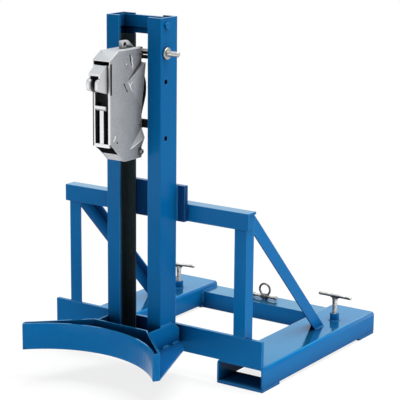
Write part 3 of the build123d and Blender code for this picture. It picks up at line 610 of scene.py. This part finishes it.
# %% Finishes and soft edges on the CAD nodes
FINISH_OF_SLOT = {"blue_paint": BLUE, "black_plastic": BLACK, "head_metal": SILVER, "zinc_steel": ZINC}
FINISH_OF_NODE = {
    "mast_post_left": POST_SHADE, "mast_post_right": POST_SHADE,
    "upper_beam": DUST_AND_LIGHT, "rear_crossbar": DUST_AND_LIGHT,
    "back_plate": PLATE_SHADE, "pocket_straps": SHADED,
    "guide_liner_left": LIT_LINER, "guide_liner_right": LIT_LINER,
    "beak": LIT_HEAD_STEEL, "head_foot": LIT_HEAD_STEEL, "head_lug": GLINT_HEAD_STEEL,
    "shackle_bow": FORGED, "shackle_lug": FORGED, "shackle_pin": WORN_AND_LIT,
}
EDGE_RADIUS = 0.0012
WELD_DISTANCE = 0.00001
SHARP_FROM = math.radians(32)


def soften(piece, width):
    """Rounds the sharp edges of a piece."""
    rounding = piece.modifiers.new("soft_edges", "BEVEL")
    rounding.width = width
    rounding.segments = 2
    rounding.limit_method = "ANGLE"
    rounding.angle_limit = SHARP_FROM
    return rounding


slot_of_node = {row["node"]: row["material_slot"] for row in frame["record"]["subparts"]}
for name, node in nodes.items():
    finish = FINISH_OF_NODE.get(name, FINISH_OF_SLOT[slot_of_node[name]])
    node.data.materials.clear()
    node.data.materials.append(finish)
    join = node.modifiers.new("join_faces", "WELD")
    join.merge_threshold = WELD_DISTANCE
    soften(node, EDGE_RADIUS).harden_normals = True
print("dressed", len(nodes), "CAD nodes")

# %% [markdown]
# Finer pieces are drawn as rings of points, with a skin from each ring to the next. That is how a section
# is carried along a path, and it does for beads, bars and screws alike. Places are in millimetres from the
# floor, the middle of the mast and the front of the crossbar, as one would measure on the real frame.

# %% Helpers for pieces
MM_IN_M = 1000
FRONT = Vector((0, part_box("front_crossbar")[0][1], 0))


def metres(x, y, z):
    """Place in the model from millimetres."""
    return Vector((x, y, z)) / MM_IN_M + FRONT


def add_rings(mesh, rings, closed_run=False):
    """Skin over rings of points; their run closes on itself, or else each end gets a cap."""
    grid = [[mesh.verts.new(metres(*point)) for point in ring] for ring in rings]
    count = len(rings[0])
    for i in range(len(grid) - (0 if closed_run else 1)):
        near, far = grid[i], grid[(i + 1) % len(grid)]
        for k in range(count):
            mesh.faces.new((near[k], near[(k + 1) % count], far[(k + 1) % count], far[k]))
    if not closed_run:
        mesh.faces.new(grid[0][::-1])
        mesh.faces.new(grid[-1])


def carry_up(mesh, section, heights, s=1):
    """Section seen from above, carried upwards; s = -1 mirrors it to the left."""
    add_rings(mesh, [[(s * x, y, z) for x, y in section] for z in heights])


def carry_across(mesh, section, widths, s=1):
    """Section in side view, carried along the width; s = -1 mirrors it to the left."""
    add_rings(mesh, [[(s * x, y, z) for y, z in section] for x in widths])


def add_piece(name, mesh, finish, body, sharp_from=40, edge=0.0):
    """Object from a bmesh, with its finish, slot and body."""
    bmesh.ops.recalc_face_normals(mesh, faces=mesh.faces)
    data = bpy.data.meshes.new(name)
    mesh.to_mesh(data)
    mesh.free()
    data.polygons.foreach_set("use_smooth", [True] * len(data.polygons))
    data.set_sharp_from_angle(angle=math.radians(sharp_from))
    data.materials.append(finish)
    piece = bpy.data.objects.new(name, data)
    scene.collection.objects.link(piece)
    if edge:
        soften(piece, edge)
    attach(piece, body)
    print("piece", name, "with", len(data.polygons), "faces on", body)
    return piece


print("crossbar's front at", round(FRONT.y, 4), "m")

# %% [markdown]
# The frame is welded, and beads are what tells a welded frame from blocks that merely touch. A real bead is
# laid in overlapping pools, so it is rippled across its length, a little proud, and thin at both ends. A
# texture couldn't catch the light in the corners, so the beads are meshes: a short curved section, swept in
# small steps along the corner, swells and shrinks with each pool.

# %% Helper for weld beads
POOL = 3.2
STEP = 1.6
SINK = 0.4
THIN_END = 0.45
RIPPLE = 0.14
CROWN = 0.28
TRAIL = 0.3
ACROSS_BEAD = (0.0, 0.22, 0.5, 0.78, 1.0)


def weld(mesh, points, sides, leg=5.0, out=None, closed=False):
    """Rippled bead along straight runs; the two sides lead away from the corner along both plates."""
    points = [Vector(p) for p in points]
    runs = list(zip(points, points[1:] + points[:1] if closed else points[1:]))
    total = sum((b - a).length for a, b in runs)
    rings, travelled = [], 0.0
    for index, (a, b) in enumerate(runs):
        length = (b - a).length
        along = (b - a).normalized()
        first, second = (Vector(s) for s in (sides(index) if callable(sides) else sides))
        proud = Vector(out) if out else (first + second).normalized()
        steps = max(2, round(length / STEP))
        for i in range(steps + (0 if closed or index < len(runs) - 1 else 1)):
            here = travelled + length * i / steps
            pool = abs(math.sin(math.pi * here / POOL))
            to_end = min(here, total - here) / leg
            end = 1.0 if closed else min(1.0, THIN_END + (1 - THIN_END) * to_end)
            size = leg * end * (1 - RIPPLE + RIPPLE * pool)
            root = a + along * (length * i / steps) - proud * SINK
            ring = []
            for t in ACROSS_BEAD:
                arch = math.sin(math.pi * t)
                spot = root - along * (TRAIL * POOL * arch) + (first * (1 - t) + second * t) * size
                ring.append(spot + proud * size * CROWN * arch)
            rings.append(ring + [root])
        travelled += length
    add_rings(mesh, rings, closed_run=closed)


print("a pool every", POOL, "mm of bead")

# %% [markdown]
# Each run of weld is where two plates of the frame meet. Most come in pairs, left and right, so a loop
# draws one side and its mirror image.

# %% Weld beads on the frame
POCKET_TOP = 72
POCKET_SIDE = 224
CROSSBAR_BACK = 12
REAR_BAR_FRONT = 588
REAR_BAR_TOP = 56
UPRIGHT_IN, UPRIGHT_EDGE, UPRIGHT_OUT = 280, 317, 318
BRACE_BACK = 459
POST_SIDE = 95
BOSS_RADIUS = 14.2
UP, DOWN, BACK, AHEAD = (0, 0, 1), (0, 0, -1), (0, 1, 0), (0, -1, 0)
BRACE_SLOPE = (0, -0.691, 0.723)
beads = bmesh.new()


def polygon(x, y, z, radius, count):
    """Corners of a level polygon, with the outward direction at the middle of each side."""
    turns = [2 * math.pi * (i + 0.5) / count for i in range(count)]
    corners = [(x + radius * math.cos(t), y + radius * math.sin(t), z) for t in turns]
    middles = [t + math.pi / count for t in turns]
    return corners, [((math.cos(t), math.sin(t), 0), UP) for t in middles]


def straight(start, end, sides, **values):
    """One straight bead."""
    weld(beads, [start, end], sides, **values)


for s in (1, -1):
    out, inward = (s, 0, 0), (-s, 0, 0)
    # crossbar, upright and brace on the pocket
    for near, far in ((232, 276), (320, 373)):
        straight((s * near, CROSSBAR_BACK, POCKET_TOP), (s * far, CROSSBAR_BACK, POCKET_TOP), (BACK, UP))
    for near, far, leg in ((CROSSBAR_BACK, 39, 4.0), (406, 458, 4.5)):
        straight((s * UPRIGHT_OUT, near, POCKET_TOP), (s * UPRIGHT_OUT, far, POCKET_TOP), (out, UP), leg=leg)
    brace_foot = [(s * x, BRACE_BACK, POCKET_TOP) for x in (UPRIGHT_IN, UPRIGHT_EDGE)]
    straight(*brace_foot, (BACK, BRACE_SLOPE), leg=4.5)
    # brace and beam on the upright
    straight((s * UPRIGHT_OUT, 40, 454), (s * UPRIGHT_OUT, 40, 508), (AHEAD, BACK), out=out)
    straight((s * UPRIGHT_IN, 0, 471), (s * UPRIGHT_EDGE, 0, 471), (DOWN, AHEAD), leg=4.5)
    # gusset and back plate on the post
    straight((s * POST_SIDE, -104, 171), (s * POST_SIDE, -48, 171), (out, UP), leg=4.0)
    straight((s * POST_SIDE, -25, 473), (s * POST_SIDE, -25, 575), (out, AHEAD))
    # rear bar on the pocket, upright on the crossbar, gusset on the floor
    straight((s * POCKET_SIDE, REAR_BAR_FRONT, 12), (s * POCKET_SIDE, REAR_BAR_FRONT, 55), (AHEAD, inward))
    straight((s * POCKET_SIDE, 589, REAR_BAR_TOP), (s * POCKET_SIDE, 673, REAR_BAR_TOP), (UP, inward))
    straight((s * UPRIGHT_IN, 0, 152), (s * UPRIGHT_EDGE, 0, 152), (UP, DOWN), leg=4.0, out=AHEAD)
    for back in (-150, -100, -50):
        straight((s * 101, back, 107), (s * 101, back + 32, 107), (out, UP), leg=6.0)
straight((-120, -8, 521), (120, -8, 521), (BACK, UP))
lug_foot = [(x, y, REAR_BAR_TOP) for x, y in ((-10, 622), (0, 622), (0, 640), (-10, 640))]
lug_sides = (AHEAD, (1, 0, 0), BACK, (-1, 0, 0))
weld(beads, lug_foot, lambda i: (lug_sides[i], UP), leg=3.0, closed=True)
for boss in ("clamp_boss_left", "clamp_boss_right"):
    low, high = (Vector(corner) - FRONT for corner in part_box(boss))
    middle = (low + high) / 2 * MM_IN_M
    boss_foot, outward = polygon(middle.x, middle.y, POCKET_TOP, BOSS_RADIUS, 6)
    weld(beads, boss_foot, lambda i: outward[i], leg=4.0, closed=True)
add_piece("weld_beads", beads, BLUE, "frame", sharp_from=60)

# %% [markdown]
# Some shapes at the mast are finer than their solids. The header is a bracket folded round inside the
# posts, with a plate at its back, so that between the posts one looks at an upright face. Its solid is a
# plain block, so the bracket is drawn again, as two sections carried upwards.

# %% Header bracket
FINE_EDGE = 0.0006
BRACKET = [(-89, -98), (-83, -98), (-83, -38), (83, -38), (83, -98), (89, -98), (89, -32), (-89, -32)]
COVER = [(-49.9, -33), (49.9, -33), (49.9, -25.2), (-49.9, -25.2)]
header = bmesh.new()
carry_up(header, BRACKET, (1022, 1056))
carry_up(header, COVER, (1004, 1056))
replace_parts(add_piece("header_bracket", header, BLUE, "frame", edge=FINE_EDGE), "mast_header")

# %% [markdown]
# The gussets beside the mast's foot have their rear corner clipped and stop short of the crossbar, and the
# floor's rear corners are cut off there. They are copies of their solids, cut by planes, because a cut
# leaves every other edge where the solid has it.

# %% Clipped gussets and floor
FLAT_WITHIN = 0.01


def cut_copy(name, node, cuts, finish):
    """Copy of a solid without some corners; each cut is a point and the direction of what goes."""
    mesh = bmesh.new()
    mesh.from_mesh(nodes[node].data)
    bmesh.ops.remove_doubles(mesh, verts=mesh.verts, dist=WELD_DISTANCE)
    bmesh.ops.dissolve_limit(mesh, angle_limit=FLAT_WITHIN, verts=mesh.verts, edges=mesh.edges)
    for point, away in cuts:
        whole = mesh.verts[:] + mesh.edges[:] + mesh.faces[:]
        cut = bmesh.ops.bisect_plane(
            mesh, geom=whole, plane_co=metres(*point), plane_no=Vector(away), clear_outer=True)
        rim = [item for item in cut["geom_cut"] if isinstance(item, bmesh.types.BMEdge)]
        bmesh.ops.edgeloop_fill(mesh, edges=rim)
    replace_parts(add_piece(name, mesh, finish, "frame", edge=EDGE_RADIUS), node)


for side, s in (("right", 1), ("left", -1)):
    rear_and_corner = [((s * 98, -16, 130), (0, 1, 0)), ((s * 98, -16, 148), (0, 0.61, 0.79))]
    cut_copy("clipped_gusset_" + side, "mast_gusset_" + side, rear_and_corner, BLUE)
rear_corners = [((s * 151, -65, 104), (s * 0.76, 0.65, 0)) for s in (1, -1)]
# The cut floor takes the darker copy of the blue: painted shade.
cut_copy("cut_floor", "cradle_floor", rear_corners, CRADLE_SHADE)

# %% [markdown]
# Some black trim is too thin for the solids. The liners lap over the rear edges of the posts, and a rub
# strip stands behind the flare of each cheek and keeps the head off the posts. Each is a plain section
# drawn as a few points and carried upwards, with its edges rounded. The rub strip follows the flare
# outwards, and its back edge bows.

# %% Black lips and rub strips
SLIM_EDGE = 0.0004
LIP = [(49.9, -33.0), (48.6, -31.5), (48.6, -25.8), (49.9, -25.2)]
lips = bmesh.new()
for s in (1, -1):
    carry_up(lips, LIP, (108, 330, 552, 775, 999), s)
# The lips take the liners' paler copy: painted light.
add_piece("liner_lips", lips, LIT_LINER, "frame", edge=SLIM_EDGE)

CHEEK = 30.5
FLARE = 15.0
FLARE_FADES, FLARE_PEAKS = 805, 935
STRIP_FRONT = -107.2
STRIP_WIDTH = 7
STRIP_INSET = 0.6
STRIP_BACKS = [
    (785, -106.2), (800, -101.0), (820, -95.0), (842, -91.0), (862, -92.5), (880, -97.0), (897, -106.0),
]
strips = bmesh.new()
for s in (1, -1):
    rings = []
    for z, back in STRIP_BACKS:
        outer = CHEEK + FLARE * max(0, z - FLARE_FADES) / (FLARE_PEAKS - FLARE_FADES) - STRIP_INSET
        inner = outer - STRIP_WIDTH
        section = ((inner, STRIP_FRONT), (outer, STRIP_FRONT), (outer, back), (inner, back))
        rings.append([(s * x, y, z) for x, y in section])
    add_rings(strips, rings)
add_piece("rub_strips", strips, BLACK, "head", edge=FINE_EDGE)

# %% [markdown]
# A black strip in the slot between the head's sill and its foot, and thin black lines along the cheeks
# beside the beak and the jaw, are painted shade. In a material each line would need a mask of its own, so
# they are slim strips too.

# %% Painted shade: a strip at the head's foot and lines on the cheeks
# Painted shade: a near-black strip in the slot under the sill.
FOOT_SHADE_SECTION = [
    (-247, 711.2), (-229.8, 699.6), (-214.8, 688.1),
    (-213.8, 688.9), (-228, 701.6), (-231, 706), (-239, 711.2),
]
foot_shade = bmesh.new()
carry_across(foot_shade, FOOT_SHADE_SECTION, (-26.4, -9, 9, 26.4))
add_piece("foot_shade_strip", foot_shade, SHADE_BLACK, "head", edge=SLIM_EDGE)

# Painted shade: thin black lines at the cheeks' front edges.
UPPER_LINE = [(30.3, -249.6), (30.3, -243), (31.0, -243.3), (31.0, -249.3)]
LOWER_LINE = [(-30.4, -249.8), (-27.4, -249.8), (-27.6, -250.5), (-30.2, -250.5)]
shade_lines = bmesh.new()
carry_up(shade_lines, UPPER_LINE, (858, 900, 944))
carry_up(shade_lines, LOWER_LINE, (713, 790, 866))
add_piece("cheek_shade_lines", shade_lines, BLACK, "head")

# %% [markdown]
# The blocks that guide the head are solid in the CAD model, but between the posts the real ones are slim: a
# lip in front of the height pin with a hook over it in the middle, and lower down a plain bar. Only the
# shoes inside the posts have the full depth. Each part is a section in side view, carried along the mast's
# width.

# %% Slide blocks with hook and shoes
NOTCH = [
    (-71.7, 943), (-71.7, 961), (-74.1, 966.9), (-80, 969.3), (-85.9, 966.9), (-88.3, 961), (-88.3, 943),
]
HOOK = [(-94.5, 943), (-94.5, 971.4), (-68.5, 971.4), (-68.5, 943)] + NOTCH
SHOE = [(-94.5, 943), (-94.5, 977), (-35.5, 977), (-35.5, 943)] + NOTCH
IN_HEAD = (-26.4, 26.4)
BETWEEN_POSTS = (-51, 51)
IN_POST = (51, 85.5)


def rect(front, back, low, high):
    """Rectangle in side view."""
    return [(front, low), (front, high), (back, high), (back, low)]


def guide_block(name, node, parts):
    """Block from sections; those that lie off the middle are mirrored."""
    mesh = bmesh.new()
    for section, widths in parts:
        for s in (1, -1) if widths[0] > 0 else (1,):
            carry_across(mesh, section, widths, s)
    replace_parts(add_piece(name, mesh, BLACK, "head", edge=FINE_EDGE), node)


guide_block("hook_block", "slide_block_upper", [
    (rect(-122, -94.5, 943, 960), IN_HEAD),
    (rect(-94.5, -88.3, 943, 953), BETWEEN_POSTS),
    (HOOK, (-6, 6)),
    (SHOE, IN_POST),
])
guide_block("guide_bar", "slide_block_lower", [
    (rect(-122, -94.5, 747, 769), IN_HEAD),
    (rect(-94.5, -78, 747, 769), BETWEEN_POSTS),
    (rect(-94.5, -35.5, 747, 769), IN_POST),
])

# %% [markdown]
# Ribs are pressed into the cheeks beside the slots, above the vent and along the ridge near the foot. They
# are a few millimetres wide and catch the light as bright lines. A bump map would leave the outline of the
# cheek flat, so each is a half-round bead, swept along a path on the cheek and lifted where the cheek
# swells.

# %% Pressed ribs on the cheeks
RIBS = [
    ([(-154.5, 957), (-151.5, 949), (-153, 940), (-149, 931), (-147, 919)], 4.5, 2.4),
    ([(-169, 884), (-162, 875), (-157, 866), (-152, 858)], 4.5, 2.2),
    ([(-162, 875), (-157, 880), (-152, 885)], 3.5, 2.0),
    ([(-238, 727), (-234, 733), (-230, 738), (-227, 742)], 6.0, 2.6),
    ([(-161, 695), (-143, 704), (-125, 713), (-110, 720.5)], 3.5, 1.8),
]
RIB_SINK = 0.4
RIB_END = 0.5
TIP_BACK, TIP_HEIGHT, FLARE_LENGTH = -175, 886, 68
RIDGE, RIDGE_BACK, RIDGE_HEIGHT, RIDGE_SLOPE = 11, -163, 694, 28


def swell(y, z):
    """How far the flare or the ridge lifts the cheek at a place."""
    back = (y - TIP_BACK) / FLARE_LENGTH
    fades = TIP_HEIGHT - (TIP_HEIGHT - FLARE_FADES) * back
    peaks = TIP_HEIGHT + (FLARE_PEAKS - TIP_HEIGHT) * back
    flare = FLARE * (z - fades) / (FLARE_PEAKS - FLARE_FADES) if z < peaks else 0
    above = z - RIDGE_HEIGHT
    ridge = RIDGE * min(y - RIDGE_BACK - above, above) / RIDGE_SLOPE
    return max(0, flare, ridge)


def rib(mesh, path, width, height, s):
    """Half-round bead with tapered ends on one cheek."""
    rings = []
    for i, (y, z) in enumerate(path):
        before, after = Vector(path[max(0, i - 1)]), Vector(path[min(len(path) - 1, i + 1)])
        along = (after - before).normalized()
        size = RIB_END if i in (0, len(path) - 1) else 1.0
        ring = []
        for degrees in (180, 140, 90, 40, 0):
            angle = math.radians(degrees)
            aside = 0.5 * width * size * math.cos(angle)
            lift = height * size * math.sin(angle) - RIB_SINK
            ring.append((s * (CHEEK + swell(y, z) + lift), y - aside * along.y, z + aside * along.x))
        rings.append(ring)
    add_rings(mesh, rings)


ribs = bmesh.new()
for path, width, height in RIBS:
    for s in (1, -1):
        rib(ribs, path, width, height, s)
# The ribs take the palest copy of the head steel: painted highlight.
add_piece("pressed_ribs", ribs, GLINT_HEAD_STEEL, "head", sharp_from=70)

# %% [markdown]
# A clamp screw is a bar with a rolled thread and a T handle forged on. The solid has a plain shank, so the
# whole screw is drawn again. Bump would leave the thread's outline smooth, so it is a grid whose radius
# follows a ridge that climbs 4 mm a turn. It stays inside the plain shank, so that it still fits its boss.

# %% Helpers for the clamp screws' thread
THREAD_PITCH, CREST, THREAD_DEPTH = 4.0, 8.0, 0.95
THREAD_LOW, THREAD_HIGH, THREAD_FADE = 64.5, 130, 3
FLANK, ROUNDING = 1.7, 0.35
AROUND = 24
TURNS = [i / AROUND for i in range(AROUND)]
WHEEL = [(math.cos(2 * math.pi * t), math.sin(2 * math.pi * t)) for t in TURNS]


def thread_radius(z, turn):
    """Radius of the shank at a height and a turn, with the thread fading out at both ends."""
    wave = abs(2 * ((z / THREAD_PITCH - turn) % 1) - 1)
    groove = min(1, max(0, FLANK * wave - ROUNDING))
    fade = max(0, min(1, (z - THREAD_LOW) / THREAD_FADE, (THREAD_HIGH - z) / THREAD_FADE))
    return CREST - THREAD_DEPTH * groove * fade


def circle(x, y, z, radius):
    """Level ring of points."""
    return [(x + radius * c, y + radius * n, z) for c, n in WHEEL]


def threaded(x, y, z):
    """Level ring whose radius follows the thread."""
    radii = [thread_radius(z, t) for t in TURNS]
    return [(x + r * c, y + r * n, z) for r, (c, n) in zip(radii, WHEEL)]


print("one turn of thread in", AROUND, "steps")

# %% [markdown]
# Each screw is three runs of rings. The shank takes the thread, above a plain tip that sits in its pad. The
# neck passes from round to a wide flat oval, and the handle's bar is turned along its own axis with soft
# ends.

# %% Clamp screws with threads and forged handles
TIP_RADIUS, TIP_ENDS = 4.9, (58.2, 63.9)
SHANK_LOW, SHANK_STEP, SHANK_STEPS = 64, 0.5, 148
NECK_LOW, NECK_RISE, NECK_WIDENS, NECK_FLATTENS, NECK_STEPS = 136.5, 11.5, 9.4, 1.8, 8
BAR_HEIGHT = 153
BAR_HALF = [(-57.4, 2.6), (-56.8, 4.1), (-55.2, 5.1), (-52, 5.4), (-34, 4.9), (-15, 5.2), (0, 5.4)]
BAR = BAR_HALF + [(-u, r) for u, r in BAR_HALF[-2::-1]]


def clamp_screw(side, x, y, lean):
    """Screw in place of the plain one, with its handle turned by some degrees."""
    mesh = bmesh.new()
    heights = [SHANK_LOW + SHANK_STEP * i for i in range(SHANK_STEPS + 1)]
    tip = [circle(x, y, z, TIP_RADIUS) for z in TIP_ENDS]
    add_rings(mesh, tip + [threaded(x, y, z) for z in heights])
    tilt = math.radians(lean)

    def swung(u, v, z):
        """Place from the distances along and across the handle."""
        return (x + u * math.cos(tilt) - v * math.sin(tilt), y + u * math.sin(tilt) + v * math.cos(tilt), z)

    neck = []
    for i in range(NECK_STEPS + 1):
        s = i / NECK_STEPS
        half_u = CREST + NECK_WIDENS * (1 - math.sqrt(1 - s * s))
        half_v = CREST - NECK_FLATTENS * s
        neck.append([swung(half_u * c, half_v * n, NECK_LOW + NECK_RISE * s) for c, n in WHEEL])
    add_rings(mesh, neck)
    add_rings(mesh, [[swung(u, r * c, BAR_HEIGHT + r * n) for c, n in WHEEL] for u, r in BAR])
    piece = add_piece("forged_screw_" + side, mesh, WORN_AND_LIT, "clamp_screw_" + side, sharp_from=50)
    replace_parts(piece, "clamp_screw_" + side)


clamp_screw("right", 320, 522, 0)
clamp_screw("left", -284, 532, 10)
